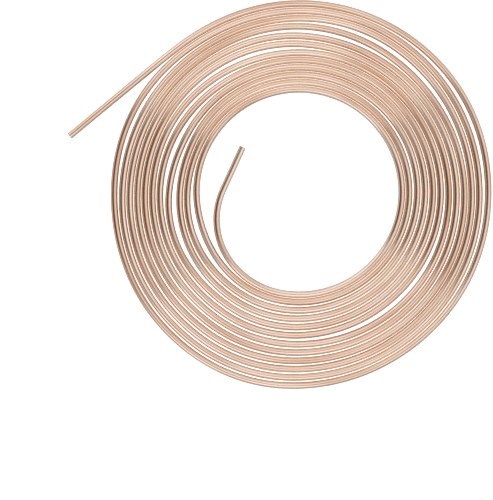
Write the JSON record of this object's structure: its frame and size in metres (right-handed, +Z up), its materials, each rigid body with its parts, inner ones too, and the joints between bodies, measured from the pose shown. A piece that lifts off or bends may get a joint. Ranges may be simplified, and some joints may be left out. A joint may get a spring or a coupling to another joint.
{
  "type": "copper tube coil",
  "caption": "Soft copper tube wound flat into a single-layer spiral coil with an open eye and two free, straightened ends, lying flat.",
  "frame": {"origin": "on the floor, at the middle of the coil's eye", "axes": "+Z up, square to the flat coil; +X along its longest side, away from the outer free end; +Y from the cut side of that end towards the top of the coil as pictured"},
  "size_m": [0.295, 0.2707, 0.0048],
  "materials": {
    "copper": "satin"
  },
  "bodies": {
    "root": {"copper_tube": "copper"}
  },
  "joints": []
}
